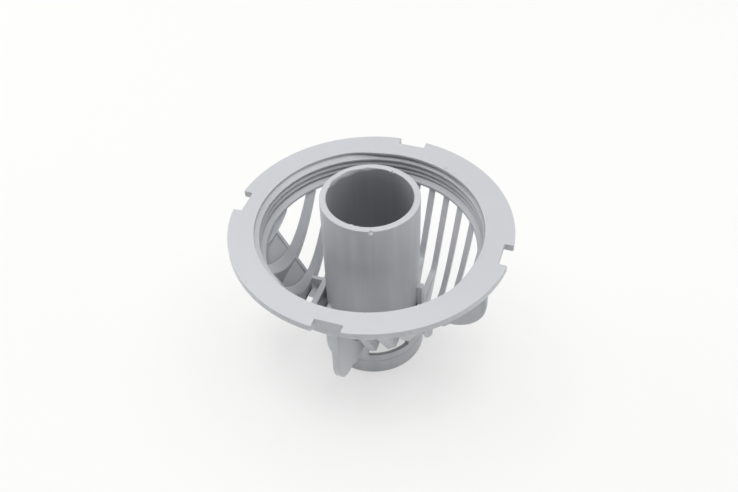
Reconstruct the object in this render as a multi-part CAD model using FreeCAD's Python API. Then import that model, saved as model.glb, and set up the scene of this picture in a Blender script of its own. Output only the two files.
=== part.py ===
"""Wash filter of a commercial dishwasher: a one-piece grey plastic moulding.

A notched flange carries a threaded ring. Below the ring hangs a bowl of parallel
slats with an open tube standing in its middle. Four fins and four posts hold a
short collar below the bowl. Everything is one solid, as it comes out of its mould.

Millimetres. The origin is the centre of the collar's lower edge, on which the part
stands. +Z is up. +X runs along the keel that ties the slats together, and +Y runs
along the slats.
"""
import FreeCAD
import Part

import math
import os

from FreeCAD import Vector

# Heights, from the lower edge of the collar
flange_top = 68.0
flange_thickness = 3.0
ring_depth = 12.0
tube_above_flange = 15.0
tube_below_floor = 8.0
bowl_depth = 39.0
collar_height = 11.5

# Flange and its notches
flange_radius = 58.0
notch_count = 4
notch_width = 11.5
notch_depth = 4.0
notch_offset = 1.4

# Threaded ring
ring_wall = 3.1
thread_crest_radius = 45.8
thread_depth = 1.6
thread_pitch = 2.5
thread_turns = 3.0
thread_mouth_width = 1.5
first_groove_depth = 1.65
thread_start_angle = 119.0
lead_in_sweep = 220.0
thread_runout = 0.6
lip_radius = 43.5
lip_height = 1.2

# Bowl of slats
slat_pitch = 7.3
slat_width = 2.8
slats_each_side = 6
slat_height = 3.4
rim_slat_height = 3.5
floor_slat_height = 11.5
bowl_mouth_step = 0.8
bowl_knee_radius = 29.8
bowl_knee_depth = 37.7
bowl_knee_run = 2.8
keel_width = 1.9

# Central tube
tube_outer_radius = 20.1
tube_wall = 2.7

# Fins below the notches
fin_setback = 0.2
fin_thickness = 3.0
fin_depth = 49.0
fin_corner_radius = 15.0
fin_corner_facets = 10
fin_foot_run = 2.3
fin_foot_rise = 2.5

# Collar and the posts that carry it
collar_radius = 22.0
collar_wall = 3.0
collar_bevel = 1.9
collar_groove_height = 7.6
collar_groove_width = 0.9
collar_groove_depth = 0.45
post_wall = 2.4
wide_post_spread = 57.0
narrow_post_spread = 24.0

# Pocket that closes the two outer slots of one quarter of the bowl
pocket_wall = 2.0
pocket_step = 0.8
pocket_reach = 24.5
pocket_shell = 3.0
pocket_slots = 2

# Small parts of the moulding
lug_width = 3.0
lug_reach = 2.3
lug_height = 9.5
tooth_width = 3.6
tooth_length = 5.0
tooth_thickness = 2.2
tooth_angle = -46.5
tooth_facets = 6

overlap = 0.5
far = 200.0

# Levels worked out from the sizes above
flange_under = flange_top - flange_thickness
ring_bottom = flange_top - ring_depth
lip_top = ring_bottom + lip_height
floor_top = flange_top - bowl_depth
knee_level = flange_top - bowl_knee_depth
tube_top = flange_top + tube_above_flange
tube_bottom = floor_top - tube_below_floor
tube_bore_radius = tube_outer_radius - tube_wall
thread_root_radius = thread_crest_radius + thread_depth
ring_outer_radius = thread_root_radius + ring_wall
fin_radius = ring_outer_radius - fin_setback
pocket_radius = lip_radius + pocket_shell
bowl_mouth_radius = lip_radius + bowl_mouth_step
bowl_floor_radius = bowl_knee_radius - bowl_knee_run
floor_under = floor_top - floor_slat_height
collar_bore_radius = collar_radius - collar_wall
notch_floor = flange_radius - notch_depth
wall_slope = (bowl_knee_depth - ring_depth) / (bowl_mouth_radius - bowl_knee_radius)


def wall_level(radius):
    """Height of the bowl's straight inner wall at a radius, or of that line drawn on."""
    return ring_bottom - (bowl_mouth_radius - radius) * wall_slope


slat_foot_radius = bowl_mouth_radius - (ring_bottom - slat_height - floor_under) / wall_slope


def face_of(points):
    """Closed flat face through points given as (radius, height) pairs in the XZ plane."""
    loop = [Vector(r, 0.0, z) for r, z in points]
    return Part.Face(Part.makePolygon(loop + loop[:1]))


def turned(face):
    """Solid made by turning an XZ-plane face once round the Z axis."""
    return face.revolve(Vector(0, 0, 0), Vector(0, 0, 1), 360.0)


def plate(face, thickness):
    """Plate made from an XZ-plane face, centred on that plane."""
    solid = face.extrude(Vector(0, thickness, 0))
    solid.translate(Vector(0, -thickness / 2.0, 0))
    return solid


def spun(shape, angle):
    """Copy of a shape turned by an angle in degrees about the Z axis."""
    copy = shape.copy()
    copy.rotate(Vector(0, 0, 0), Vector(0, 0, 1), angle)
    return copy


def quarter_angles():
    """Angles of the notches, which the fins and posts share."""
    return [index * 360.0 / notch_count for index in range(notch_count)]


def crossed(shape):
    """Copies of a shape at the four notches, on centre lines that pass beside the Z axis."""
    copies = []
    for angle in quarter_angles():
        copy = spun(shape, angle)
        along_x = angle % 180.0 == 0.0
        copy.translate(Vector(0, -notch_offset, 0) if along_x else Vector(notch_offset, 0, 0))
        copies.append(copy)
    return copies


def make_ring():
    """Flange and threaded ring as one turned piece, with the sloping band above the lip."""
    band_top = lip_top + (thread_crest_radius - lip_radius) * thread_runout
    return turned(face_of([
        (thread_crest_radius, flange_top),
        (flange_radius, flange_top),
        (flange_radius, flange_under),
        (ring_outer_radius, flange_under),
        (ring_outer_radius, ring_bottom),
        (lip_radius, ring_bottom),
        (lip_radius, lip_top),
        (thread_crest_radius, band_top),
    ]))


def make_notches():
    """Four square-cut notches in the edge of the flange."""
    block = Part.makeBox(far, notch_width, flange_thickness + 2 * overlap)
    block.translate(Vector(notch_floor, -notch_width / 2.0, flange_under - overlap))
    return crossed(block)


def helical_cut(section, turns, start_level):
    """Solid swept by a section, given as (radius, height) pairs, down a helix.

    The helix climbs anticlockwise, so the thread is right-handed. The section starts
    at its lowest point, and its heights count from the line of the helix.
    """
    height = thread_pitch * turns
    helix = Part.makeHelix(thread_pitch, height, thread_crest_radius)
    points = [Vector(r, 0.0, z) for r, z in section]
    profile = Part.makePolygon(points + points[:1])
    solid = Part.Wire(helix.Edges).makePipeShell([profile], True, True)
    solid.rotate(Vector(0, 0, 0), Vector(0, 0, 1), thread_start_angle)
    solid.translate(Vector(0, 0, start_level))
    return solid


def make_thread():
    """Groove of the internal thread, a V in section, running down from its start."""
    mouth = thread_mouth_width / 2.0 * (1.0 + overlap / thread_depth)
    section = [
        (thread_crest_radius - overlap, -mouth),
        (thread_root_radius, 0.0),
        (thread_crest_radius - overlap, mouth),
    ]
    start_level = flange_top - first_groove_depth - thread_pitch * thread_turns
    return helical_cut(section, thread_turns, start_level)


def make_lead_in():
    """Open start of the thread: above the groove's lower flank the ring is cut back to the root."""
    inner = thread_crest_radius - overlap
    lower = -thread_mouth_width / 2.0
    upper = first_groove_depth + overlap
    section = [
        (inner, lower),
        (thread_root_radius, lower),
        (thread_root_radius, upper),
        (inner, upper),
    ]
    return helical_cut(section, lead_in_sweep / 360.0, flange_top - first_groove_depth)


def inner_profile():
    """Inside of the bowl as (radius, height) pairs, from the lip down to the tube."""
    return [
        (bowl_mouth_radius, ring_bottom + overlap),
        (bowl_knee_radius, knee_level),
        (bowl_floor_radius, floor_top),
        (tube_bore_radius + overlap, floor_top),
    ]


def outer_profile():
    """Underside of the slats as (radius, height) pairs, from the tube up to the ring."""
    mouth = bowl_mouth_radius + overlap
    return [
        (tube_bore_radius + overlap, floor_under),
        (slat_foot_radius, floor_under),
        (mouth, wall_level(mouth) - slat_height),
        (mouth, ring_bottom + overlap),
    ]


def make_bowl():
    """The bowl before its slots are cut: one turned wall from the lip to the tube."""
    return turned(face_of(inner_profile() + outer_profile()))


def slab(centre, width):
    """Tall slab parallel to YZ, used to slice the bowl."""
    box = Part.makeBox(width, 2 * far, 2 * far)
    box.translate(Vector(centre - width / 2.0, -far, -far))
    return box


def make_slats(bowl):
    """Parallel slats: slices of the bowl, all along Y. The two outermost are shallow."""
    slats = []
    for index in range(-slats_each_side, slats_each_side + 1):
        slice_box = slab(index * slat_pitch, slat_width)
        if abs(index) == slats_each_side:
            slice_box.translate(Vector(0, 0, far + ring_bottom - rim_slat_height))
        slats.extend(bowl.common(slice_box).Solids)
    return slats


def make_keel(bowl):
    """Thin rib along X that ties the slats together."""
    rib = Part.makeBox(2 * far, keel_width, 2 * far)
    rib.translate(Vector(-far, -keel_width / 2.0, -far))
    return bowl.common(rib).Solids


def make_tube():
    """Open tube through the middle of the bowl."""
    height = tube_top - tube_bottom
    base = Vector(0, 0, tube_bottom)
    return Part.makeCylinder(tube_outer_radius, height, base)


def make_tube_bore():
    """Bore of the tube, cut through whatever crosses it."""
    base = Vector(0, 0, tube_bottom - overlap)
    return Part.makeCylinder(tube_bore_radius, tube_top - tube_bottom + 2 * overlap, base)


def fin_corner(centre_radius, centre_level):
    """Lower outer corner of a fin: a quarter circle in short facets, from upright to level."""
    points = []
    for index in range(fin_corner_facets + 1):
        turn = math.pi / 2.0 * index / fin_corner_facets
        radius = centre_radius + fin_corner_radius * math.cos(turn)
        level = centre_level - fin_corner_radius * math.sin(turn)
        points.append((radius, level))
    return points


def make_fin():
    """Radial fin below a notch. Its upper edge lies within the slats that it crosses."""
    outer_foot = flange_top - fin_depth
    centre_radius = fin_radius - fin_corner_radius
    centre_level = outer_foot + fin_foot_rise + fin_corner_radius
    top = [
        (ring_outer_radius - overlap, flange_under + overlap),
        (fin_radius, flange_under + overlap),
    ]
    foot = [
        (centre_radius - fin_foot_run, outer_foot),
        (collar_bore_radius, outer_foot - fin_foot_rise),
    ]
    inner_edge = [
        (collar_bore_radius, floor_under + overlap),
        (bowl_knee_radius + overlap, knee_level - overlap),
        (bowl_mouth_radius + overlap / 2.0, ring_bottom - overlap),
        (bowl_mouth_radius + overlap / 2.0, ring_bottom + overlap),
    ]
    outline = top + fin_corner(centre_radius, centre_level) + foot + inner_edge
    return plate(face_of(outline), fin_thickness)


def make_collar():
    """Collar at the foot, with a bevelled mouth and a fine groove round the outside."""
    half = collar_groove_width / 2.0
    return turned(face_of([
        (collar_bore_radius, 0.0),
        (collar_radius, 0.0),
        (collar_radius, collar_groove_height - half),
        (collar_radius - collar_groove_depth, collar_groove_height),
        (collar_radius, collar_groove_height + half),
        (collar_radius, collar_height),
        (collar_bore_radius, collar_height - collar_bevel),
    ]))


def make_post(angle):
    """Post between the collar's groove and the floor of the bowl, a sector of the same wall.

    The posts at the keel's ends are wide, and those at the slats' ends are narrow.
    """
    spread = wide_post_spread if angle % 180.0 == 0.0 else narrow_post_spread
    foot = collar_groove_height + collar_groove_width
    base = Vector(0, 0, foot)
    height = floor_under + overlap - foot
    outer = Part.makeCylinder(collar_radius, height, base, Vector(0, 0, 1), spread)
    inner = Part.makeCylinder(collar_radius - post_wall, height, base)
    return spun(outer.cut(inner), angle - spread / 2.0)


def pocket_section(inner_edge, outer_edge, drop):
    """Part of the pocket's outline in the XZ plane, between two distances from the YZ plane."""
    return face_of([
        (-inner_edge, wall_level(inner_edge) - drop),
        (-outer_edge, wall_level(outer_edge) - drop),
        (-outer_edge, ring_bottom + overlap),
        (-inner_edge, ring_bottom + overlap),
    ])


def make_pocket():
    """Pocket below the outer slots of the -X, -Y quarter, with a floor that slopes like the keel."""
    first = slats_each_side - pocket_slots
    inner_edge = first * slat_pitch - slat_width / 2.0
    section = pocket_section(inner_edge, bowl_mouth_radius, pocket_step + pocket_wall)
    block = section.extrude(Vector(0, -pocket_reach, 0))
    block = block.common(Part.makeCylinder(pocket_radius, far))
    hollows = [turned(face_of(inner_profile() + [(0, floor_top), (0, ring_bottom + overlap)]))]
    within = Part.makeCylinder(lip_radius, far)
    for index in range(first, slats_each_side):
        slot_in = index * slat_pitch + slat_width / 2.0
        slot = pocket_section(slot_in, slot_in + slat_pitch - slat_width, pocket_step)
        hollows.append(slot.extrude(Vector(0, pocket_wall - pocket_reach, 0)).common(within))
    return block.cut(hollows)


def make_lug():
    """Small key on the side of the tube, standing on the floor of the bowl."""
    reach = tube_wall / 2.0 + lug_reach
    lug = Part.makeBox(reach, lug_width, lug_height + overlap)
    lug.translate(Vector(tube_outer_radius + lug_reach - reach, -lug_width / 2.0, floor_top - overlap))
    return lug


def make_tooth():
    """Short tooth below the ring, with a rounded tip."""
    tip = tooth_width / 2.0
    inner = ring_outer_radius - tooth_thickness
    centre_level = ring_bottom - tooth_length + tip
    outline = [Vector(inner, tip, ring_bottom + overlap), Vector(inner, -tip, ring_bottom + overlap)]
    for index in range(tooth_facets + 1):
        turn = math.pi * index / tooth_facets
        outline.append(Vector(inner, -tip * math.cos(turn), centre_level - tip * math.sin(turn)))
    face = Part.Face(Part.makePolygon(outline + outline[:1]))
    return spun(face.extrude(Vector(tooth_thickness, 0, 0)), tooth_angle)


def build_filter():
    """The whole moulding as one solid."""
    bowl = make_bowl()
    pieces = make_slats(bowl) + make_keel(bowl) + [make_pocket()]
    pieces.extend(crossed(make_fin()))
    pieces.extend(make_post(angle) for angle in quarter_angles())
    pieces.extend([make_collar(), make_lug(), make_tooth(), make_tube()])
    body = make_ring().fuse(pieces)
    body = body.cut([make_tube_bore()] + make_notches())
    body = body.cut([make_thread()])
    return body.cut([make_lead_in()])


def main():
    """Write the part's one STEP file."""
    os.makedirs("parts", exist_ok=True)
    body = build_filter()
    print("valid", body.isValid(), "solids", len(body.Solids), "volume", round(body.Volume, 1))
    print("box", body.BoundBox)
    body.Solids[0].exportStep("parts/filter_body.step")


main()
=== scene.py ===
"""Looks of the wash filter: its moulded surfaces, its finish, the floor, light and camera.

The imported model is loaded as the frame. Sizes below are in millimetres and meshes are
written in metres. The sizes repeat the part's own, apart from the thread's section and
the small roundings. The part is one moulding, and every piece here is a closed surface
of the same plastic that runs a little into its neighbour.
"""
from __future__ import annotations

import logging
import math
from dataclasses import dataclass
from enum import Enum
from typing import Any

import bmesh
import bpy
import numpy as np
from mathutils import Matrix, Vector

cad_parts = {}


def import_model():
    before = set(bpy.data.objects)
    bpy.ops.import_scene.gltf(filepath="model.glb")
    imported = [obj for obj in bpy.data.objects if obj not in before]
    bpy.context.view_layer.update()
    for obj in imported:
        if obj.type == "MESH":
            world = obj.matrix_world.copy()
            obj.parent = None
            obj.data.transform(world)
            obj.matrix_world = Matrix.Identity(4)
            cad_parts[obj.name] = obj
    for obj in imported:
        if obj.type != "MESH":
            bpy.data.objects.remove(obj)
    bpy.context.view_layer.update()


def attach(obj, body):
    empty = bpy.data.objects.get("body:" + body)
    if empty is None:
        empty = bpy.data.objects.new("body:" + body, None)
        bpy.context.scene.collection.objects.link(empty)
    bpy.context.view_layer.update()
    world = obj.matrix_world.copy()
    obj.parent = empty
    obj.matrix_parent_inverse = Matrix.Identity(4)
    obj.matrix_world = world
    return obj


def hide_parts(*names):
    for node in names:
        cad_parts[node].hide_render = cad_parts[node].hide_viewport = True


LOG = logging.getLogger("wash_filter")
MM = 0.001
Array = np.ndarray
Pair = tuple[float, float]
Triple = tuple[float, float, float]
Corner = tuple[Array | float, Array | float]
Finish = bpy.types.Material
MIX_FIRST_COLOUR, MIX_SECOND_COLOUR, MIX_COLOUR_RESULT = 6, 7, 2
LONGEST_CUT = 0.45


class Value:
    """A node socket that takes part in Python arithmetic."""

    def __init__(self, graph: Graph, socket: bpy.types.NodeSocket) -> None:
        """Keeps the socket and the graph it belongs to."""
        self.graph = graph
        self.socket = socket

    def _math(self, operation: str, first: Any, second: Any = 0.0) -> Value:
        """Adds one Math node.

        Args:
            operation: The node's operation.
            first: Its first value or socket.
            second: Its second value or socket.

        Returns:
            The node's result.
        """
        return self.graph.node("ShaderNodeMath", {"operation": operation}, {0: first, 1: second})

    def __add__(self, other: Any) -> Value:
        """Sum."""
        return self._math("ADD", self, other)

    def __radd__(self, other: Any) -> Value:
        """Sum with a number on the left."""
        return self._math("ADD", other, self)

    def __sub__(self, other: Any) -> Value:
        """Difference."""
        return self._math("SUBTRACT", self, other)

    def __rsub__(self, other: Any) -> Value:
        """Difference from a number on the left."""
        return self._math("SUBTRACT", other, self)

    def __mul__(self, other: Any) -> Value:
        """Product."""
        return self._math("MULTIPLY", self, other)

    def __rmul__(self, other: Any) -> Value:
        """Product with a number on the left."""
        return self._math("MULTIPLY", other, self)

    def __pow__(self, other: Any) -> Value:
        """Power."""
        return self._math("POWER", self, other)

    def __abs__(self) -> Value:
        """Absolute value."""
        return self._math("ABSOLUTE", self)

    def most(self, other: Any) -> Value:
        """The larger of two values."""
        return self._math("MAXIMUM", self, other)

    def smooth(self, low: float, high: float) -> Value:
        """Smooth step from 0 at low to 1 at high. Low may be the larger."""
        return self.graph.node(
            "ShaderNodeMapRange",
            {"interpolation_type": "SMOOTHSTEP"},
            {"Value": self, "From Min": low, "From Max": high, "To Min": 0.0, "To Max": 1.0},
        )


class Graph:
    """Node tree of one material."""

    def __init__(self, name: str) -> None:
        """Makes an empty material with that name."""
        self.material = bpy.data.materials.new(name)
        self.material.use_nodes = True
        self.tree = self.material.node_tree
        self.tree.nodes.clear()

    def node(self, kind: str, settings: dict[str, Any], sockets: dict[Any, Any], out: Any = 0) -> Value:
        """Adds a node.

        Args:
            kind: The node's type name.
            settings: Its own properties, set first.
            sockets: Values or links of its input sockets, by name or index.
            out: Name or index of the output that is wanted.

        Returns:
            That output.
        """
        node = self.tree.nodes.new(kind)
        for key, setting in settings.items():
            setattr(node, key, setting)
        for key, value in sockets.items():
            if isinstance(value, Value):
                self.tree.links.new(value.socket, node.inputs[key])
            else:
                node.inputs[key].default_value = value
        return Value(self, node.outputs[out])

    def vector(self, operation: str, sockets: dict[Any, Any], out: str = "Vector") -> Value:
        """One Vector Math node's result, its vector or its value."""
        return self.node("ShaderNodeVectorMath", {"operation": operation}, sockets, out)

    @classmethod
    def over(cls, tree: bpy.types.NodeTree) -> Graph:
        """Takes an existing node tree, such as the world's, and empties it.

        Args:
            tree: The node tree.

        Returns:
            The graph over it, which has no material.
        """
        graph = cls.__new__(cls)
        graph.tree = tree
        graph.tree.nodes.clear()
        return graph

    def finish(self, shader: Value) -> Finish:
        """Links a shader to the material's output.

        Args:
            shader: The shader.

        Returns:
            The material.
        """
        output = self.tree.nodes.new("ShaderNodeOutputMaterial")
        self.tree.links.new(shader.socket, output.inputs["Surface"])
        return self.material


class Shade(Enum):
    """Colours of small marks, as linear red, green, blue and alpha."""

    BEIGE = (0.34, 0.31, 0.25, 1.0)
    PALE = (0.78, 0.78, 0.79, 1.0)


@dataclass(frozen=True)
class Speck:
    """A small mark on the surface: its centre in mm, reach in mm, strength and colour."""

    centre: Triple
    reach: float
    strength: float
    shade: Shade = Shade.BEIGE


@dataclass(frozen=True)
class Noise:
    """Noise about zero: features per metre, detail, and how far it is stretched on each axis.

    The stretch is given as a factor on the coordinates, so a small one draws the pattern out.
    """

    scale: float
    detail: float
    stretch: Triple = (1.0, 1.0, 1.0)
    roughness: float = 0.55

    def make(self, graph: Graph, place: Value) -> Value:
        """Adds the noise.

        Args:
            graph: The material's graph.
            place: Object coordinates in metres.

        Returns:
            A value from about -0.5 to 0.5.
        """
        stretched = graph.node("ShaderNodeMapping", {}, {"Vector": place, "Scale": self.stretch})
        cloud = graph.node(
            "ShaderNodeTexNoise",
            {"noise_dimensions": "3D"},
            {"Vector": stretched, "Scale": self.scale, "Detail": self.detail, "Roughness": self.roughness},
        )
        return cloud - 0.5


@dataclass(frozen=True)
class MouldedPlastic:
    """Satin grey plastic as it comes from the mould, with grain, flow streaks and a painted highlight along
    its edges.

    Inside the tube's bore the colour is darker by a share, which is painted shade and comes
    in between two distances from the Z axis. Radii and the bump's height are in millimetres.
    """

    name: str = "moulded_grey_plastic"
    colour: Triple = (0.45, 0.458, 0.482)
    roughness: float = 0.35
    refraction: float = 1.46
    clouds: Noise = Noise(38.0, 3.0)
    grains: Noise = Noise(1400.0, 2.0)
    streaks: Noise = Noise(330.0, 3.0, (1.0, 1.0, 0.06))
    wide_streaks: Noise = Noise(90.0, 2.0, (1.0, 1.0, 0.12))
    cloud_shade: float = 0.05
    grain_shade: float = 0.035
    streak_shade: float = 0.26
    cloud_gloss: float = 0.10
    grain_gloss: float = 0.10
    streak_gloss: float = 0.25
    grain_relief: float = 0.4
    streak_relief: float = 0.8
    bump: float = 0.12
    bump_height: float = 0.4
    edge_radius: float = 0.3
    edge_samples: int = 6
    edge_turn: Pair = (0.01, 0.30)
    # Share by which the painted highlight lightens the colour along the edges.
    edge_painted_highlight: float = 0.26
    upright_slope: Pair = (0.75, 0.15)
    bore_radii: Pair = (17.8, 17.5)
    # Share of painted shade inside the tube's bore.
    bore_painted_shade: float = 0.24
    speck_edge: Noise = Noise(900.0, 2.0)
    speck_ragged: float = 1.6
    speck_heart: float = 0.2

    def bore(self, graph: Graph, place: Value) -> Value:
        """Tells the tube's bore from the rest, by the distance from the Z axis, for the painted shade there.

        Args:
            graph: The material's graph.
            place: Object coordinates in metres.

        Returns:
            1 in the bore and 0 outside it.
        """
        level = graph.vector("MULTIPLY", {0: place, 1: (1.0, 1.0, 0.0)})
        radius = graph.vector("LENGTH", {0: level}, "Value")
        outer, inner = self.bore_radii
        return radius.smooth(outer * MM, inner * MM)

    def make(self, specks: tuple[Speck, ...]) -> Finish:
        """Builds the material.

        Args:
            specks: Small marks on the surface.

        Returns:
            The finished material.
        """
        graph = Graph(self.name)
        place = graph.node("ShaderNodeTexCoord", {}, {}, "Object")
        flat = graph.node("ShaderNodeNewGeometry", {}, {}, "Normal")
        bevel = graph.node(
            "ShaderNodeBevel", {"samples": self.edge_samples}, {"Radius": self.edge_radius * MM}
        )
        agreement = graph.vector("DOT_PRODUCT", {0: flat, 1: bevel}, "Value")
        edge = (1.0 - agreement).smooth(*self.edge_turn)
        height = graph.node("ShaderNodeSeparateXYZ", {}, {0: flat}, "Z")
        upright_share = abs(height).smooth(*self.upright_slope)
        clouds, grains = self.clouds.make(graph, place), self.grains.make(graph, place)
        streaks, wide_streaks = self.streaks.make(graph, place), self.wide_streaks.make(graph, place)
        shade = 1.0 + clouds * self.cloud_shade + grains * self.grain_shade
        shade = shade + upright_share * (streaks + wide_streaks) * self.streak_shade
        # Painted highlight: the colour is lighter along the edges, where the bevelled normal turns away from
        # the face's own.
        shade = shade * (1.0 + edge * self.edge_painted_highlight)
        # Painted shade: the colour is darker inside the tube's bore.
        shade = shade * (1.0 - self.bore(graph, place) * self.bore_painted_shade)
        colour = graph.vector("SCALE", {0: self.colour, "Scale": shade})
        for speck in specks:
            colour = self.with_speck(graph, place, colour, speck)
        gloss = self.roughness + clouds * self.cloud_gloss + grains * self.grain_gloss
        gloss = gloss + upright_share * streaks * self.streak_gloss
        relief = grains * self.grain_relief + upright_share * streaks * self.streak_relief
        normal = graph.node(
            "ShaderNodeBump",
            {},
            {"Strength": self.bump, "Distance": self.bump_height * MM, "Height": relief, "Normal": bevel},
        )
        shader = graph.node(
            "ShaderNodeBsdfPrincipled",
            {},
            {"Base Color": colour, "Roughness": gloss, "Normal": normal, "IOR": self.refraction},
        )
        return graph.finish(shader)

    def with_speck(self, graph: Graph, place: Value, colour: Value, speck: Speck) -> Value:
        """Mixes one mark in round a point, its edge broken up by noise.

        Args:
            graph: The material's graph.
            place: Object coordinates in metres.
            colour: The colour so far.
            speck: The mark.

        Returns:
            The colour with the mark.
        """
        centre = tuple(MM * c for c in speck.centre)
        gap = graph.vector("DISTANCE", {0: place, 1: centre}, "Value")
        reach = speck.reach * MM
        rough_gap = gap + self.speck_edge.make(graph, place) * (reach * self.speck_ragged)
        mask = rough_gap.smooth(reach, self.speck_heart * reach) * speck.strength
        sockets = {"Factor": mask, MIX_FIRST_COLOUR: colour, MIX_SECOND_COLOUR: speck.shade.value}
        return graph.node("ShaderNodeMix", {"data_type": "RGBA"}, sockets, MIX_COLOUR_RESULT)


@dataclass(frozen=True)
class PaleFloor:
    """Plain pale floor, which the camera sees near white with the object's soft shadow on it."""

    colour: tuple[float, float, float, float] = (0.88, 0.88, 0.872, 1.0)
    white: tuple[float, float, float, float] = (0.92, 0.92, 0.912, 1.0)
    whiteness_near: float = 0.54
    whiteness_far: float = 0.78
    near_radius: float = 40.0
    far_radius: float = 65.0

    def make(self) -> Finish:
        """Builds the material: matt for light, and partly plain white for the rays that are seen.

        The share of plain white grows with the distance from the middle, so that the
        shadow is deep below the object and faint beyond it.

        Returns:
            The material.
        """
        graph = Graph("pale_floor")
        seen = seen_rays(graph)
        place = graph.node("ShaderNodeTexCoord", {}, {}, "Object")
        distance = graph.vector("LENGTH", {0: place}, "Value")
        away = distance.smooth(self.near_radius * MM, self.far_radius * MM)
        share = self.whiteness_near + away * (self.whiteness_far - self.whiteness_near)
        matt = graph.node("ShaderNodeBsdfDiffuse", {}, {"Color": self.colour})
        white = graph.node("ShaderNodeEmission", {}, {"Color": self.white, "Strength": 1.0})
        mixed = graph.node("ShaderNodeMixShader", {}, {0: seen * share, 1: matt, 2: white})
        return graph.finish(mixed)


def seen_rays(graph: Graph) -> Value:
    """Tells the rays that the camera, a gloss or a clear surface sees by from the rest.

    Args:
        graph: The material's graph.

    Returns:
        1 for those rays and 0 for the rest.
    """
    kinds = ("Camera", "Glossy", "Transmission")
    camera, glossy, clear = (graph.node("ShaderNodeLightPath", {}, {}, f"Is {kind} Ray") for kind in kinds)
    return camera.most(glossy).most(clear)


@dataclass(frozen=True)
class Lamp:
    """A rectangular area lamp: place and aim in metres, width and height in metres, power in watts."""

    name: str
    place: Triple
    size: Pair
    power: float
    aim: Triple = (0.0, 0.0, 0.05)

    def build(self) -> None:
        """Adds the lamp, turned to its aim."""
        data = bpy.data.lights.new(self.name, "AREA")
        data.shape = "RECTANGLE"
        data.size, data.size_y = self.size
        data.energy = self.power
        obj = bpy.data.objects.new(self.name, data)
        obj.location = self.place
        obj.rotation_euler = (Vector(self.aim) - Vector(self.place)).to_track_quat("-Z", "Y").to_euler()
        bpy.context.collection.objects.link(obj)


@dataclass(frozen=True)
class Studio:
    """Floor, lamps, surrounding light and camera."""

    floor_size: float = 4.0
    horizon: float = 0.50
    zenith: float = 0.12
    seen_white: float = 0.97
    lamps: tuple[Lamp, ...] = (
        Lamp("overhead", (0.0, 0.18, 1.3), (2.0, 1.4), 26.0),
        Lamp("left_side", (-1.0, 0.1, 0.45), (0.7, 0.7), 4.0),
        Lamp("right_side", (1.0, 0.25, 0.45), (0.7, 0.7), 2.1),
        Lamp("low_front", (0.0, -1.1, 0.18), (1.4, 0.25), 1.3),
    )
    camera_place: Triple = (0.09054, -0.25740, 0.32287)
    heading: float = 19.6
    tilt: float = 45.62
    roll: float = -2.07
    lens: float = 45.0
    sensor_width: float = 36.0
    clip_start: float = 0.01

    def floor(self) -> None:
        """Adds the floor: four corners at the level of the collar's lower edge."""
        half = self.floor_size / 2.0
        corners = [(-half, -half, 0.0), (half, -half, 0.0), (half, half, 0.0), (-half, half, 0.0)]
        mesh = bpy.data.meshes.new("floor")
        mesh.from_pydata(corners, [], [(0, 1, 2, 3)])
        obj = bpy.data.objects.new("floor", mesh)
        mesh.materials.append(PaleFloor().make())
        bpy.context.collection.objects.link(obj)

    def surroundings(self) -> None:
        """Gives the world a pale light that is stronger at the horizon than overhead.

        The strength is zenith + (horizon - zenith) * (1 - |z|) squared, z being the
        upward part of the direction, and the camera's own rays get nearly plain white.
        """
        world = bpy.data.worlds.new("studio_world")
        world.use_nodes = True
        graph = Graph.over(world.node_tree)
        direction = graph.node("ShaderNodeTexCoord", {}, {}, "Generated")
        rise = abs(graph.node("ShaderNodeSeparateXYZ", {}, {0: direction}, "Z"))
        light = self.zenith + (1.0 - rise) ** 2.0 * (self.horizon - self.zenith)
        camera = graph.node("ShaderNodeLightPath", {}, {}, "Is Camera Ray")
        strength = light + camera * (self.seen_white - light)
        shader = graph.node("ShaderNodeBackground", {}, {"Color": (1.0, 1.0, 1.0, 1.0), "Strength": strength})
        output = graph.tree.nodes.new("ShaderNodeOutputWorld")
        graph.tree.links.new(shader.socket, output.inputs["Surface"])
        bpy.context.scene.world = world

    def camera(self) -> None:
        """Adds the camera at the photograph's viewing angle."""
        data = bpy.data.cameras.new("camera")
        data.lens = self.lens
        data.sensor_width = self.sensor_width
        data.clip_start = self.clip_start
        obj = bpy.data.objects.new("camera", data)
        turn = (
            Matrix.Rotation(math.radians(self.heading), 4, "Z")
            @ Matrix.Rotation(math.radians(self.tilt), 4, "X")
            @ Matrix.Rotation(math.radians(self.roll), 4, "Z")
        )
        obj.matrix_world = Matrix.Translation(self.camera_place) @ turn
        bpy.context.collection.objects.link(obj)
        bpy.context.scene.camera = obj

    def build(self) -> None:
        """Adds everything round the object."""
        self.floor()
        for lamp in self.lamps:
            lamp.build()
        self.surroundings()
        self.camera()
        bpy.context.scene.view_settings.view_transform = "Standard"
        LOG.info("studio: floor, %d lamps, world and camera", len(self.lamps))


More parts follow.
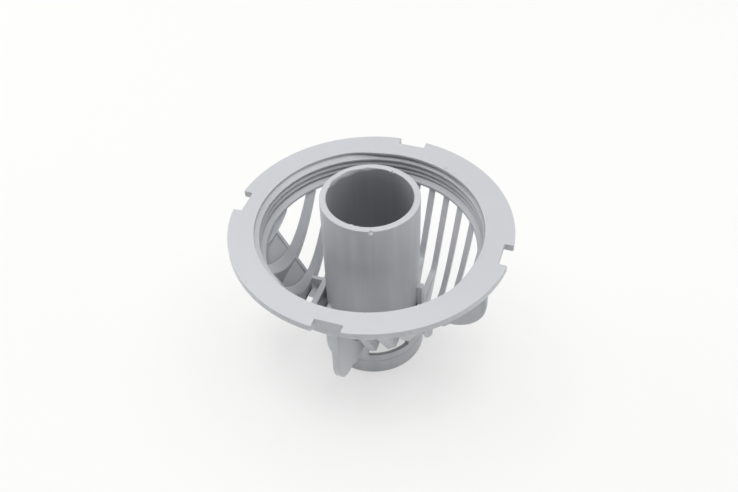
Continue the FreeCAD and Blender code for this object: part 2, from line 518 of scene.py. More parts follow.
@dataclass(frozen=True)
class Sizes:
    """The sizes that several pieces share, in millimetres, as in the part's source."""

    flange_top: float = 68.0
    flange_thickness: float = 3.0
    flange_radius: float = 58.0
    ring_radius: float = 50.5
    ring_bottom: float = 56.0
    lip_radius: float = 43.5
    notch_offset: float = 1.4
    slat_height: float = 3.4
    slat_foot_radius: float = 24.5
    mouth_radius: float = 44.3
    bowl_floor: float = 29.0
    knee_radius: float = 29.8
    knee_level: float = 30.3
    knee_round: float = 0.9
    tube_radius: float = 20.1
    tube_bore: float = 17.4
    edge: float = 0.3

    def wall(self, radius: Array) -> Array:
        """Height of the bowl's straight wall at each radius, the line drawn on past its ends."""
        slope = (self.ring_bottom - self.knee_level) / (self.mouth_radius - self.knee_radius)
        return self.ring_bottom - (self.mouth_radius - radius) * slope

    def inside(self, radius: Array) -> Array:
        """Height of the bowl's inside: a hyperbola that runs into the straight wall and the flat floor.

        It is the mean of the two heights plus the root of half their difference squared
        and the rounding squared.
        """
        mean = (self.wall(radius) + self.bowl_floor) / 2.0
        return mean + np.hypot(mean - self.bowl_floor, self.knee_round)

    def underside(self, radius: Array) -> Array:
        """Height of the slats' underside: parallel to the wall, then flat inside the foot radius."""
        return self.wall(np.maximum(radius, self.slat_foot_radius)) - self.slat_height


SIZES = Sizes()


def rounded(corners: Array, radius: float, steps: int = 4) -> Array:
    """Closed outline with its corners rounded.

    Each corner becomes a quadratic curve: it starts and ends on the two sides, set back
    by the radius, or by LONGEST_CUT of the shorter side if that is less, and the corner is
    its middle control point.

    Args:
        corners: Array of any leading shape by corners by 2.
        radius: Set-back in mm.
        steps: Points for each corner.

    Returns:
        Array of the same leading shape by corners times steps by 2.
    """
    before = np.roll(corners, 1, axis=-2) - corners
    after = np.roll(corners, -1, axis=-2) - corners
    long_before = np.linalg.norm(before, axis=-1, keepdims=True)
    long_after = np.linalg.norm(after, axis=-1, keepdims=True)
    cut = np.minimum(radius, LONGEST_CUT * np.minimum(long_before, long_after))
    start = (corners + before / long_before * cut)[..., None, :]
    end = (corners + after / long_after * cut)[..., None, :]
    t = np.linspace(0.0, 1.0, steps)[:, None]
    curve = (1 - t) ** 2 * start + 2 * t * (1 - t) * corners[..., None, :] + t**2 * end
    return curve.reshape(*corners.shape[:-2], -1, 2)


def sections(corners: list[Corner], count: int) -> Array:
    """Outlines from corners whose radius and height are one number, or one for each cut.

    Args:
        corners: Radius and height of each corner.
        count: How many cuts there are.

    Returns:
        Cuts by corners by 2.
    """
    one = np.ones(count)
    return np.stack([np.stack([one * r, one * z], axis=-1) for r, z in corners], axis=1)


def turned(outline: Array, angle: Array) -> Array:
    """Grid from outlines of radius and height set at angles: r cos, r sin, z.

    Args:
        outline: Points by 2, or one such outline for each angle.
        angle: Angles in radians, in order.

    Returns:
        Angles by points by 3.
    """
    outline = np.broadcast_to(outline, (angle.size, *outline.shape[-2:]))
    r, z = outline[..., 0], outline[..., 1]
    return np.stack([r * np.cos(angle[:, None]), r * np.sin(angle[:, None]), z], axis=-1)


def spun(points: Array, degrees: float) -> Array:
    """Points turned about Z by an angle: x cos - y sin, x sin + y cos, z."""
    c, s = math.cos(math.radians(degrees)), math.sin(math.radians(degrees))
    return points @ np.array([[c, s, 0.0], [-s, c, 0.0], [0.0, 0.0, 1.0]])


def crossed(points: Array) -> list[Array]:
    """Copies at the four notches. Those along X sit beside the axis towards -Y, the others towards +X."""
    aside = SIZES.notch_offset
    shifts = [(0.0, -aside, 0.0), (aside, 0.0, 0.0)] * 2
    return [spun(points, 90.0 * turn) + np.array(shift) for turn, shift in enumerate(shifts)]


def plate(outline: Array, thickness: float, radius: float, rows: int = 8) -> Array:
    """Rows of a flat plate with rounded edges.

    Row by row the outline moves in along its normals while its height goes from one face
    to the other: the inset is radius times one minus the cosine, the height radius times
    the sine, of an angle from minus to plus a quarter turn.

    Args:
        outline: Closed outline, anticlockwise, points by 2.
        thickness: The plate's thickness in mm.
        radius: Rounding of its edges in mm.
        rows: How many outlines from one face to the other.

    Returns:
        Rows by points by 3: the outline's two directions, and the height across the plate.
    """
    along = np.roll(outline, -1, axis=0) - np.roll(outline, 1, axis=0)
    along /= np.linalg.norm(along, axis=1, keepdims=True)
    inward = np.stack([-along[:, 1], along[:, 0]], axis=1)
    angle = np.linspace(-math.pi / 2.0, math.pi / 2.0, rows)[:, None]
    inset = radius * (1.0 - np.cos(angle))
    height = (thickness / 2.0 - radius) * np.sign(angle) + radius * np.sin(angle)
    flat = outline[None] + inset[..., None] * inward[None]
    return np.concatenate([flat, np.broadcast_to(height[..., None], (*flat.shape[:2], 1))], axis=2)


def upright(rows: Array) -> Array:
    """Plate rows stood up in the XZ plane: first direction to X, second to Z, height to Y."""
    return rows[..., [0, 2, 1]]


class Shells:
    """Closed surfaces gathered into one mesh object that rides on the part's body.

    Shading is smooth, apart from edges at which the faces turn by more than sharp_degrees.
    """

    sharp_degrees = 38.0

    def __init__(self, name: str, *grids: Array, ring: bool = False) -> None:
        """Starts a piece with its name and its first surfaces, if any.

        Args:
            name: The object's name.
            grids: Surfaces, as add takes them.
            ring: Whether each of them closes on itself.
        """
        self.name = name
        self.points: list[Array] = []
        self.faces: list[tuple[int, ...]] = []
        self.count = 0
        for grid in grids:
            self.add(grid, ring)

    def add(self, grid: Array, ring: bool = False) -> None:
        """Adds one closed surface.

        Args:
            grid: Rows by points by 3, in mm. Each row is a closed outline.
            ring: Whether the last row joins the first. If not, both ends get a flat cap.
        """
        rows, columns = grid.shape[:2]
        index = np.arange(rows * columns).reshape(rows, columns) + self.count
        if ring:
            index = np.vstack([index, index[:1]])
        wrap = np.hstack([index, index[:, :1]])
        quads = np.stack([wrap[:-1, :-1], wrap[1:, :-1], wrap[1:, 1:], wrap[:-1, 1:]], axis=-1)
        self.faces.extend(map(tuple, quads.reshape(-1, 4).tolist()))
        if not ring:
            self.faces.append(tuple(index[0].tolist()))
            self.faces.append(tuple(index[-1, ::-1].tolist()))
        self.points.append(grid.reshape(-1, 3))
        self.count += rows * columns

    def build(self, finish: Finish) -> None:
        """Makes the object, points its faces outwards, smooths it and hands it to the frame.

        Args:
            finish: The material it is dressed in.
        """
        mesh = bpy.data.meshes.new(self.name)
        mesh.from_pydata((np.concatenate(self.points) * MM).tolist(), [], self.faces)
        work = bmesh.new()
        work.from_mesh(mesh)
        bmesh.ops.recalc_face_normals(work, faces=work.faces)
        work.to_mesh(mesh)
        work.free()
        mesh.shade_smooth()
        mesh.set_sharp_from_angle(angle=math.radians(self.sharp_degrees))
        mesh.materials.append(finish)
        obj = bpy.data.objects.new(self.name, mesh)
        bpy.context.collection.objects.link(obj)
        shading = obj.modifiers.new("flat_faces_stay_flat", "WEIGHTED_NORMAL")
        shading.keep_sharp = True
        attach(obj, "root")
        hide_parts("filter_body")
        LOG.info("%s: %d points, %d faces", self.name, len(mesh.vertices), len(mesh.polygons))


@dataclass(frozen=True)
class Columns:
    """Upright cuts round the ring, each along a line in plan: radial, or parallel to a notch's sides.

    For each cut there is its direction in radians, its distance beside that direction, how
    far it runs parallel, from 0 to 1, and how far out the flange reaches there.
    """

    direction: Array
    beside: Array
    parallel: Array
    reach: Array
    blend_radius: float = 56.0

    def angle(self, radius: Array) -> Array:
        """Angle of each cut at a radius.

        A cut beside a direction by b is at that direction plus the arcsine of b over r
        where it runs parallel, and plus b over a fixed radius where it runs radially.

        Args:
            radius: Cuts by points, in mm.

        Returns:
            Angles in radians, of the same shape.
        """
        beside, parallel = self.beside[:, None], self.parallel[:, None]
        radial = (1.0 - parallel) * beside / self.blend_radius
        return self.direction[:, None] + radial + parallel * np.arcsin(beside / radius)


@dataclass(frozen=True)
class Thread:
    """Internal thread in the ring's wall: a ridge that slopes inwards and down, then steps back.

    Turns count clockwise, and downwards, from the start of the first groove. Anticlockwise
    from there, over the open start, the wall above the ridge is cut back to the root. The
    ridge runs on over the first part of it, and fades out.

    The ridge's sloping face lies between slope_top and slope_foot, and its lower edge at
    ridge_foot, all three counted from the helix. Sweeps and what is named so are in
    degrees, turns in turns, and all else in millimetres.
    """

    root: float = 47.4
    groove_root: float = 48.1
    crest: float = 45.4
    pitch: float = 2.5
    start_degrees: float = 119.0
    start_level: float = 66.7
    open_sweep: float = 206.0
    ledge_sweep: float = 130.0
    fade_degrees: float = 15.0
    ridge_turns: float = 2.35
    slope_top: float = -0.3
    slope_foot: float = -1.65
    ridge_foot: float = -2.3
    ridge_foot_drop: float = 0.15
    ridge_round: float = 0.14
    sunk: float = 0.05
    anchor: float = 1.0
    rows_per_turn: int = 170
    whole_turns: float = 2.0
    blind_turns: float = 3.0
    band_top: float = 58.58
    band_step: float = 0.4
    least_band: float = 0.1
    least_shoulder: float = 0.35
    come_in_degrees: float = 16.0
    close_degrees: float = 22.0
    lead_in: float = 0.6
    land_back: float = 0.5
    land_edge: float = 0.12
    open_back: float = 1.2
    root_step: float = 0.15
    rim_drop: float = 0.1

    def back(self, angle: Array) -> Array:
        """Share of a turn from the start clockwise to each angle, from 0 to 1."""
        return np.mod(math.radians(self.start_degrees) - angle, 2.0 * math.pi) / (2.0 * math.pi)

    def level(self, turns: Array | float) -> Array | float:
        """Height of the helix after that many turns."""
        return self.start_level - self.pitch * turns

    def seams(self) -> Array:
        """Finds where the wall's outline changes.

        Returns:
            Angles in radians of the start, the end of the open start and the blind end.
        """
        degrees = [self.start_degrees, self.start_degrees + self.open_sweep]
        degrees.append(self.start_degrees - 360.0 * (self.ridge_turns - self.whole_turns))
        return np.radians(np.mod(degrees, 360.0))

    def wall(self, angle: Array) -> list[Corner]:
        """Corners of the wall behind the ridge, from the band up, as radius and height at each angle.

        Below the lowest groove the wall stands out to the crest. Above the first groove it
        stands out too, less by lead_in, apart from the open start, and slopes off to both
        ends. Behind the ridge it is set back to the groove's root.

        Args:
            angle: Angles in radians.

        Returns:
            Eight corners.
        """
        back, top = self.back(angle), SIZES.flange_top
        blind = back < self.ridge_turns - self.whole_turns
        last = np.where(blind, self.level(self.blind_turns), self.level(self.whole_turns + back))
        foot = np.maximum(last + self.slope_foot, self.band_top + self.least_band)
        shoulder = np.maximum(last + self.slope_top, foot + self.least_shoulder)
        to_close = 1.0 - self.open_sweep / 360.0 - back
        closed = to_close >= 0.0
        first = self.level(back - 1.0)
        land = np.where(closed, first + self.ridge_foot, top - self.rim_drop)
        come_in = np.minimum(back * 360.0 / self.come_in_degrees, to_close * 360.0 / self.close_degrees)
        step_in = (self.crest + self.lead_in - self.root) * np.clip(come_in, 0.0, 1.0)
        inner = np.where(closed, self.root + step_in, self.root)
        behind = np.where(closed, self.groove_root, self.root)
        hidden = np.where(closed, land - self.land_back, first - self.open_back)
        return [
            (self.crest + self.band_step, self.band_top), (self.crest, foot),
            (self.groove_root, shoulder), (self.groove_root, hidden),
            (behind, hidden + self.root_step), (behind, land - self.land_edge),
            (inner, land), (inner, top),
        ]

    def ridge(self) -> Array:
        """The ridge: one section carried down the helix, its outer side sunk into the wall.

        Over the first few degrees its inner points are drawn back to the root in proportion.

        Returns:
            Rows by points by 3, in mm.
        """
        first, last = -self.ledge_sweep / 360.0, self.ridge_turns
        turns = np.linspace(first, last, int((last - first) * self.rows_per_turn))
        slope = (self.slope_top - self.slope_foot) / (self.root - self.crest)
        outer = self.root + self.anchor
        section = rounded(np.array([
            [outer, self.slope_top + slope * self.anchor], [outer, self.ridge_foot - self.ridge_foot_drop],
            [self.crest, self.ridge_foot], [self.crest, self.slope_foot],
        ]), self.ridge_round, 3)
        fade = np.clip((turns - first) * 360.0 / self.fade_degrees, 0.0, 1.0)[:, None]
        radius, level = section[:, 0], np.broadcast_to(section[:, 1], (turns.size, len(section)))
        drawn_back = self.root + self.sunk
        radius = np.where(radius < self.root, drawn_back + (radius - drawn_back) * fade, radius)
        outline = np.stack([radius, level], axis=-1)
        grid = turned(outline, np.radians(self.start_degrees) - 2.0 * math.pi * turns)
        grid[..., 2] += self.level(turns)[:, None]
        return grid


@dataclass(frozen=True)
class Ring:
    """Notched flange and threaded ring, one closed surface turned round Z, with the thread's ridge."""

    notch_width: float = 11.5
    notch_floor: float = 54.0
    lip_top: float = 57.2
    notch_cuts: Triple = (7.4, 3.4, 1.1)
    notch_spread: float = 8.6
    half_parallel: float = 0.5
    columns_per_quarter: int = 112
    seam_gaps: tuple[float, ...] = (-0.004, -0.0004, 0.0004, 0.004)
    wall_inside: float = 2.0
    thread: Thread = Thread()

    def notch_columns(self, turn: int, side: float) -> Array:
        """Cuts that draw one notch with square corners.

        Args:
            turn: The notch's quarter turn from +X.
            side: Which way it sits beside that direction.

        Returns:
            Rows of direction, distance beside it, how far parallel, and flange radius.
        """
        s, half, small = SIZES, self.notch_width / 2.0, SIZES.edge
        far, mid, near = self.notch_cuts
        beside = -np.array([far, half + small, half, half, half - small, mid, near])
        edge, floor = s.flange_radius, self.notch_floor
        radius = np.array([edge, edge, edge - small, floor + small, floor, floor, floor])
        beside, radius = np.concatenate([beside, -beside[::-1]]), np.concatenate([radius, radius[::-1]])
        parallel = np.where(np.abs(beside) > half + 2.0 * small, self.half_parallel, 1.0)
        place = beside + side * s.notch_offset
        in_notch = radius < edge - 2.0 * small
        reach = np.where(in_notch, np.hypot(radius, place), radius)
        return np.stack([np.full(beside.size, turn * math.pi / 2.0), place, parallel, reach])

    def columns(self) -> Columns:
        """Lays out the cuts: closer ones at the notches and where the thread's wall changes.

        Returns:
            The cuts, anticlockwise from the notch at +X.
        """
        s, spread, radius = SIZES, self.notch_spread, Columns.blend_radius
        sides = (-1.0, -1.0, 1.0, 1.0)
        steps = (self.thread.seams()[:, None] + np.array(self.seam_gaps)).ravel()
        parts = []
        for turn, side in enumerate(sides):
            parts.append(self.notch_columns(turn, side))
            low = turn * math.pi / 2.0 + (spread + side * s.notch_offset) / radius
            high = (turn + 1) * math.pi / 2.0 - (spread - sides[(turn + 1) % 4] * s.notch_offset) / radius
            extra = steps[(steps > low) & (steps < high)]
            span = np.sort(np.concatenate([np.linspace(low, high, self.columns_per_quarter), extra]))
            none = np.zeros(span.size)
            parts.append(np.stack([span, none, none, none + s.flange_radius]))
        return Columns(*np.concatenate(parts, axis=1))

    def grid(self) -> Array:
        """Works out the whole surface: one outline for each cut, its corners rounded.

        Returns:
            Cuts by outline points by 3, in mm.
        """
        s, columns = SIZES, self.columns()
        count = columns.direction.size
        wall_angle = columns.angle(np.full((count, 1), self.thread.crest))
        under = s.flange_top - s.flange_thickness
        inside = [(s.lip_radius, s.ring_bottom), (s.lip_radius, self.lip_top)]
        outside = [
            (columns.reach, s.flange_top), (columns.reach, under),
            (s.ring_radius, under), (s.ring_radius, s.ring_bottom),
        ]
        corners = inside + self.thread.wall(wall_angle[:, 0]) + outside
        outline = rounded(sections(corners, count), s.edge)
        r, z = outline[..., 0], outline[..., 1]
        outer_angle = columns.angle(np.maximum(r, s.ring_radius))
        angle = np.where(r < s.ring_radius - self.wall_inside, wall_angle, outer_angle)
        return np.stack([r * np.cos(angle), r * np.sin(angle), z], axis=-1)

    def pieces(self) -> list[Shells]:
        """Gathers the piece.

        Returns:
            One piece: the ring's surface, with the thread's ridge.
        """
        shells = Shells("ring_and_flange", self.grid(), ring=True)
        shells.add(self.thread.ridge())
        return [shells]


class SlatKind(Enum):
    """What a slat does at its lower edge."""

    PLAIN = "plain"
    RIM = "shallow, below the lip only"
    DEEP = "runs down to the pocket's floor"


@dataclass(frozen=True)
class Bowl:
    """Parallel slats and the keel that ties them."""

    slat_pitch: float = 7.3
    slat_width: float = 2.8
    slats_each_side: int = 6
    rim_height: float = 3.5
    rim_centre: float = 43.4
    rim_width: float = 2.2
    keel_width: float = 1.9
    inner_radius: float = 18.6
    outer_radius: float = 46.6
    rim_reach: float = 45.0
    pocket_reach: float = 24.5
    pocket_drop: float = 2.6
    deep_slats: tuple[int, ...] = (-5, -4)
    section_height: float = 2.0
    least_height: float = 0.8
    into_ring: float = 0.5
    rim_least: float = 0.2
    step_run: float = 0.02
    steps: int = 72

    def rail(self, centre: float, width: float, span: Pair, kind: SlatKind) -> Array:
        """One slat: a rounded oblong section carried along Y, its top and underside following the bowl.

        The height of each point is the bowl's inside, or the underside, at that point's own
        distance from the axis, plus the section's own offset. A rim slat's underside is an
        arch, and a deep slat's follows the pocket's floor. The ends stay within the ring.

        Args:
            centre: The slat's X.
            width: Its width.
            span: Where it starts and ends along Y.
            kind: What it does at its lower edge.

        Returns:
            Rows by points by 3.
        """
        s, half, tall = SIZES, width / 2.0, self.section_height
        section = rounded(np.array([[-half, 0.0], [half, 0.0], [half, tall], [-half, tall]]), s.edge)
        is_top = section[:, 1] > tall / 2.0
        offset = np.where(is_top, section[:, 1] - tall, section[:, 1])
        y = np.linspace(*span, self.steps)
        if kind is SlatKind.DEEP:
            ends = [-self.pocket_reach, -self.pocket_reach + self.step_run, -self.step_run, 0.0]
            y = np.sort(np.concatenate([y, ends]))
        x, y = (centre + section[:, 0])[None, :], y[:, None]
        radius = np.hypot(x, y)
        bottom = s.underside(radius)
        if kind is SlatKind.RIM:
            arch = np.sqrt(np.clip(1.0 - (y / span[1]) ** 2, 0.0, 1.0))
            drop = self.rim_least + (self.rim_height - self.rim_least) * arch
            bottom = np.maximum(bottom, s.ring_bottom - drop)
        bottom = np.minimum(bottom, s.ring_bottom - self.into_ring)
        if kind is SlatKind.DEEP:
            walled = (y > -self.pocket_reach) & (y < 0.0)
            bottom = np.where(walled, np.minimum(bottom, s.wall(np.abs(x)) - self.pocket_drop), bottom)
        top = np.clip(s.inside(radius), bottom + self.least_height, s.ring_bottom + self.into_ring)
        z = np.where(is_top[None, :], top, bottom) + offset[None, :]
        return np.stack([x + 0.0 * z, y + 0.0 * z, z], axis=-1)

    def slats(self) -> Shells:
        """Gathers the slats. Those that meet the tube are in two halves.

        Returns:
            One piece.
        """
        shells = Shells("slats")
        for index in range(-self.slats_each_side, self.slats_each_side + 1):
            centre, width, kind = index * self.slat_pitch, self.slat_width, SlatKind.PLAIN
            reach = self.outer_radius
            if abs(index) == self.slats_each_side:
                centre, width, kind = math.copysign(self.rim_centre, centre), self.rim_width, SlatKind.RIM
                reach = self.rim_reach
            elif index in self.deep_slats:
                kind = SlatKind.DEEP
            end = math.sqrt(reach**2 - centre**2)
            spans = [(-end, end)]
            if abs(centre) < self.inner_radius:
                start = math.sqrt(self.inner_radius**2 - centre**2)
                spans = [(start, end), (-end, -start)]
            for span in spans:
                shells.add(self.rail(centre, width, span, kind))
        return shells

    def keel(self) -> Shells:
        """The keel's two halves, which are slats turned a quarter."""
        rows = self.rail(0.0, self.keel_width, (self.inner_radius, self.outer_radius), SlatKind.PLAIN)
        return Shells("keel", spun(rows, -90.0), spun(rows, 90.0))

    def pieces(self) -> list[Shells]:
        """The slats, and the keel."""
        return [self.slats(), self.keel()]


@dataclass(frozen=True)
class Pocket:
    """Pocket that closes the two outer slots of one quarter: sloping floor, curved wall and end wall.

    Its surfaces stand apart by overlap where they would lie in one plane.
    """

    first_edge: float = 27.8
    wall: float = 2.0
    step: float = 0.8
    reach: float = 24.5
    outer_radius: float = 46.5
    overlap: float = 0.05
    into_keel: float = 0.4
    into_ring: float = 0.4
    end_into_ring: float = 0.3
    least_height: float = 0.1
    first_angle: float = 0.01
    steps: tuple[int, int, int] = (24, 30, 20)

    def box(self, x: Array, y: Array, top: Array, foot: Array) -> Array:
        """Four-cornered section carried along: two points at the top height, then the same two at the foot.

        Args:
            x: X of the section's two sides at each step, steps by 2.
            y: Y of the same.
            top: Height of the top at each of them.
            foot: Height of the foot.

        Returns:
            Steps by 4 by 3.
        """
        sides = [np.concatenate([part, part[:, ::-1]], axis=1) for part in (x, y)]
        return np.stack([*sides, np.concatenate([top, foot[:, ::-1]], axis=1)], axis=-1)

    def floor(self) -> Array:
        """Sloping floor from the keel to the end wall, its height falling with X as the bowl's wall does.

        Returns:
            Steps along X by 4 by 3.
        """
        x = -np.linspace(self.first_edge, SIZES.mouth_radius, self.steps[0])[:, None] + np.zeros(2)
        end = self.overlap - np.minimum(self.reach, np.sqrt(self.outer_radius**2 - x**2))
        y = np.where(np.array([True, False]), -self.into_keel, end)
        level = SIZES.wall(np.abs(x)) - self.step
        return self.box(x, y, level, level - self.wall + self.overlap)

    def curved_wall(self) -> Array:
        """Wall below the lip, carried round Z, its foot on the floor's line.

        Returns:
            Steps round Z by 4 by 3.
        """
        s = SIZES
        last = math.asin(self.reach / self.outer_radius)
        angle = math.pi + np.linspace(self.first_angle, last, self.steps[1])[:, None]
        radius = np.array([[s.lip_radius, self.outer_radius]])
        x, y = radius * np.cos(angle), radius * np.sin(angle)
        foot = s.wall(np.abs(x)) - self.step - self.wall - self.overlap
        foot = np.minimum(foot, s.ring_bottom - self.least_height)
        return self.box(x, y, np.full_like(x, s.ring_bottom + self.into_ring), foot)

    def end_wall(self) -> Array:
        """Wall across the far end, its top at the bowl's inside.

        Returns:
            Steps along X by 4 by 3.
        """
        s, last = SIZES, math.sqrt(self.outer_radius**2 - self.reach**2)
        x = -np.linspace(self.first_edge, last, self.steps[2])[:, None] + np.zeros(2)
        y = np.array([[-self.reach + self.wall, -self.reach]]) + 0.0 * x
        foot = s.wall(np.abs(x)) - self.step - self.wall
        top = np.minimum(s.inside(np.hypot(x, y)) - self.overlap, s.ring_bottom + self.end_into_ring)
        return self.box(x, y, np.maximum(top, foot + self.least_height), foot)

    def pieces(self) -> list[Shells]:
        """The pocket's three walls, in one piece."""
        return [Shells("pocket", self.floor(), self.curved_wall(), self.end_wall())]


class Edge(Enum):
    """Which edge of the tube's rim a flaw is on."""

    INNER = "inner"
    OUTER = "outer"


@dataclass(frozen=True)
class Flaw:
    """A flake or chip of the rim: where it is, its width and drop in mm, and how far it stands proud.

    A negative proud is a chip, cut back into the edge.
    """

    edge: Edge
    degrees: float
    width: float
    drop: float
    proud: float


@dataclass(frozen=True)
class Tube:
    """Open standing tube with its key, and the flakes and chips that moulding left on the rim."""

    top: float = 83.0
    bottom: float = 21.0
    columns: int = 900
    rim_round: float = 0.3
    rim_rows: tuple[float, ...] = (2.6, 2.2, 1.9, 1.6, 1.35, 1.1, 0.9, 0.7, 0.5)
    flaw_tip: float = 0.25
    key_top: float = 38.5
    key_radius: float = 22.4
    key_width: float = 3.0
    key_sunk: float = 1.2
    key_below: float = 0.5
    key_corner: float = 0.5
    key_edge: float = 0.35
    flaws: tuple[Flaw, ...] = (
        Flaw(Edge.OUTER, -70.9, 0.75, 2.3, -0.95),
        Flaw(Edge.INNER, -88.0, 0.30, 0.5, 0.35),
        Flaw(Edge.INNER, -94.5, 0.60, 0.7, 0.45),
        Flaw(Edge.INNER, -97.5, 0.30, 0.5, 0.22),
        Flaw(Edge.INNER, 75.3, 0.50, 0.9, 0.85),
        Flaw(Edge.INNER, 77.3, 0.40, 1.5, -1.15),
        Flaw(Edge.INNER, 79.3, 0.55, 0.9, 0.95),
        Flaw(Edge.INNER, 83.0, 0.35, 0.7, 0.25),
        Flaw(Edge.INNER, 52.0, 0.80, 0.9, 0.25),
        Flaw(Edge.INNER, 112.0, 3.2, 1.3, -0.55),
        Flaw(Edge.INNER, 138.0, 6.0, 2.0, -0.85),
        Flaw(Edge.INNER, 163.0, 3.6, 2.2, -0.75),
        Flaw(Edge.INNER, 176.5, 0.5, 1.2, 0.65),
    )

    def wall(self) -> Array:
        """The tube turned round Z, with each flaw worked into its rim.

        A flaw moves a point across the wall by its proud, times a bell curve of the
        distance round the rim, times how near the point is to the rim's top, and times
        a share that is 1 at the flaw's own edge and 0 at the other. The bell narrows
        downwards, so that a flake ends in a tip. The rows of points are closer near the rim.

        Returns:
            Columns by points by 3, in mm.
        """
        s = SIZES
        corners = np.array([
            [s.tube_bore, self.bottom], [s.tube_radius, self.bottom],
            [s.tube_radius, self.top], [s.tube_bore, self.top],
        ])
        foot, rim = np.split(rounded(corners, self.rim_round, 5), 2)
        levels = self.top - np.array(self.rim_rows)
        outer = np.stack([np.full(levels.size, s.tube_radius), levels], axis=1)
        inner = np.stack([np.full(levels.size, s.tube_bore), levels[::-1]], axis=1)
        outline = np.concatenate([foot, outer, rim, inner])
        angle = np.linspace(0.0, 2.0 * math.pi, self.columns, endpoint=False)[:, None]
        r, z = outline[None, :, 0] + 0.0 * angle, outline[None, :, 1] + 0.0 * angle
        across = (r - s.tube_bore) / (s.tube_radius - s.tube_bore)
        for flaw in self.flaws:
            outwards = 1.0 if flaw.edge is Edge.OUTER else -1.0
            own = across if flaw.edge is Edge.OUTER else 1.0 - across
            near = np.clip(1.0 - (self.top - z) / flaw.drop, 0.0, 1.0)
            away = np.angle(np.exp(1j * (angle - math.radians(flaw.degrees)))) * s.tube_radius
            width = flaw.width * (self.flaw_tip + (1.0 - self.flaw_tip) * near)
            bell = np.exp(-((away / width) ** 2))
            r = r + outwards * flaw.proud * bell * near * own**2
        return np.stack([r * np.cos(angle), r * np.sin(angle), z], axis=-1)

    def key(self) -> Array:
        """Small key on the tube's side, standing on the bowl's floor.

        Returns:
            Rows by points by 3.
        """
        root, foot = SIZES.tube_radius - self.key_sunk, SIZES.bowl_floor - self.key_below
        corners = np.array([
            [root, foot], [self.key_radius, foot], [self.key_radius, self.key_top], [root, self.key_top],
        ])
        return upright(plate(rounded(corners, self.key_corner), self.key_width, self.key_edge))

    def pieces(self) -> list[Shells]:
        """The tube, and its key."""
        return [Shells("tube", self.wall(), ring=True), Shells("tube_key", self.key())]


@dataclass(frozen=True)
class Collar:
    """Collar at the foot, with its bevelled mouth and groove, and the four posts that carry it."""

    radius: float = 22.0
    bore: float = 19.0
    height: float = 11.5
    bevel: float = 1.9
    groove_height: float = 7.6
    groove_half: float = 0.45
    post_bore: float = 19.6
    post_top: float = 18.0
    spreads: Pair = (57.0, 24.0)
    mouth: Pair = (20.8, 10.74)
    bevel_share: float = 0.8
    post_columns: int = 24
    window_columns: int = 40
    side_gap: float = 0.001

    def columns(self) -> tuple[Array, Array]:
        """Cuts round the collar, two of them close together at each side of each post.

        Returns:
            Their angles in radians, and whether each is in a post.
        """
        parts, posts = [], []
        for turn in range(4):
            centre, half = turn * math.pi / 2.0, math.radians(self.spreads[turn % 2]) / 2.0
            following = math.radians(self.spreads[(turn + 1) % 2]) / 2.0
            post = np.linspace(centre - half, centre + half, self.post_columns)
            first, last = centre + half + self.side_gap, centre + math.pi / 2.0 - following - self.side_gap
            window = np.linspace(first, last, self.window_columns)
            parts.extend([post, window])
            posts.extend([np.ones(post.size, bool), np.zeros(window.size, bool)])
        return np.concatenate(parts), np.concatenate(posts)

    def pieces(self) -> list[Shells]:
        """Gathers the piece. In a post the section's top corners stand up to the slats.

        Returns:
            One piece: the collar with its posts.
        """
        angle, post = self.columns()
        low, mid = self.height - self.bevel, self.height - self.bevel * self.bevel_share
        corners = [
            (self.bore, 0.0), (self.radius, 0.0), (self.radius, self.groove_height - self.groove_half),
            (self.radius - self.groove_half, self.groove_height),
            (self.radius, self.groove_height + self.groove_half),
            (self.radius, np.where(post, self.post_top, self.height)),
            (np.where(post, self.post_bore, self.mouth[0]), np.where(post, self.post_top, self.mouth[1])),
            (self.post_bore, mid), (self.bore, low),
        ]
        outline = rounded(sections(corners, angle.size), SIZES.edge)
        return [Shells("collar_and_posts", turned(outline, angle), ring=True)]


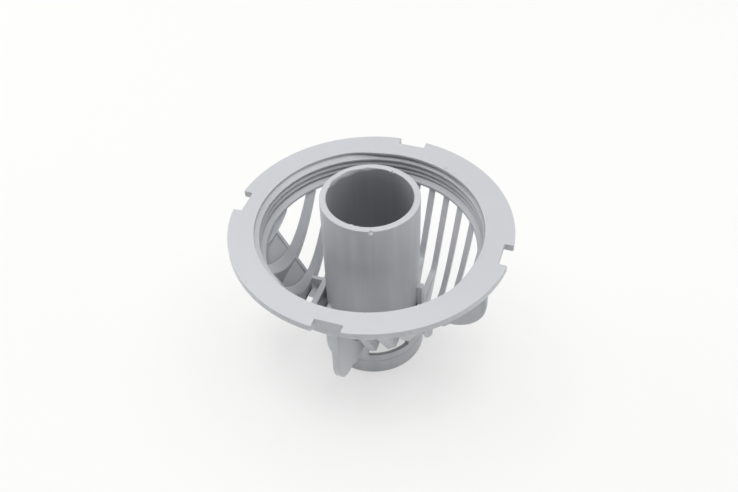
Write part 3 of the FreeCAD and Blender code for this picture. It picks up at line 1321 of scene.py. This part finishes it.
@dataclass(frozen=True)
class Fins:
    """Four fins below the notches, and the tooth below the ring."""

    radius: float = 50.3
    thickness: float = 3.0
    level: float = 19.0
    corner: float = 15.0
    foot_radius: float = 33.0
    rise: float = 2.5
    top: float = 56.9
    inner_edge: tuple[Pair, ...] = ((44.6, 55.5), (31.5, 31.9))
    inner_radius: float = 19.3
    into_slats: float = 0.5
    edge_foot: float = 50.0
    edge: float = 0.5
    corner_steps: int = 18
    tooth_width: float = 3.6
    tooth_length: float = 5.0
    tooth_thickness: float = 2.2
    tooth_degrees: float = -46.5
    tooth_edge: float = 0.35
    tooth_into_ring: float = 0.4
    tooth_steps: int = 14

    def fins(self) -> Shells:
        """Gathers the fins: one plate with a large round lower corner, below each notch.

        Returns:
            One piece.
        """
        s = SIZES
        centre = np.array([self.radius - self.corner, self.level + self.rise + self.corner])
        turn = np.linspace(0.0, -math.pi / 2.0, self.corner_steps)[:, None]
        corner = centre + self.corner * np.concatenate([np.cos(turn), np.sin(turn)], axis=1)
        under = float(s.underside(np.array(s.slat_foot_radius)))
        outline = np.concatenate([
            np.array([
                (self.inner_edge[0][0], self.top), *self.inner_edge,
                (self.inner_radius, under + self.into_slats),
                (self.inner_radius, self.level - self.rise), (self.foot_radius, self.level),
            ]),
            corner[::-1],
            np.array([(self.radius, self.edge_foot), (self.radius, self.top)]),
        ])
        return Shells("fins", *crossed(upright(plate(outline, self.thickness, self.edge))))

    def tooth(self) -> Shells:
        """Tooth with a half-round tip.

        Returns:
            One piece.
        """
        s, tip = SIZES, self.tooth_width / 2.0
        turn = np.linspace(-math.pi, 0.0, self.tooth_steps)[:, None]
        centre = np.array([0.0, s.ring_bottom - self.tooth_length + tip])
        end = centre + tip * np.concatenate([np.cos(turn), np.sin(turn)], axis=1)
        root = s.ring_bottom + self.tooth_into_ring
        outline = np.concatenate([end, np.array([(tip, root), (-tip, root)])])
        rows = plate(outline, self.tooth_thickness, self.tooth_edge)
        out = s.ring_radius - self.tooth_thickness / 2.0
        placed = np.stack([out + rows[..., 2], rows[..., 0], rows[..., 1]], axis=-1)
        return Shells("tooth", spun(placed, self.tooth_degrees))

    def pieces(self) -> list[Shells]:
        """The fins, and the tooth."""
        return [self.fins(), self.tooth()]


SPECKS = (
    Speck((-36.0, -44.0, 68.0), 0.9, 0.5),
    Speck((-28.0, -49.5, 67.5), 0.8, 0.45),
    Speck((12.0, 46.5, 68.0), 0.7, 0.4),
    Speck((20.0, 43.0, 68.0), 1.1, 0.6),
    Speck((24.5, 40.6, 68.0), 0.8, 0.5),
    Speck((31.0, 36.5, 68.0), 0.7, 0.4),
    Speck((6.6, -19.0, 81.9), 1.2, 0.9, Shade.PALE),
    Speck((-1.6, -17.4, 83.0), 0.5, 0.6, Shade.PALE),
    Speck((4.0, 17.1, 82.9), 0.5, 0.7, Shade.PALE),
    Speck((12.0, -45.9, 68.0), 0.5, 0.6, Shade.PALE),
)


def main() -> None:
    """Loads the frame, builds and dresses the part, and sets the studio round it."""
    logging.basicConfig(level=logging.INFO, format="%(name)s: %(message)s")
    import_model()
    finish = MouldedPlastic().make(SPECKS)
    for assembly in (Ring(), Bowl(), Pocket(), Tube(), Collar(), Fins()):
        for piece in assembly.pieces():
            piece.build(finish)
    Studio().build()


if __name__ == "__main__":
    main()
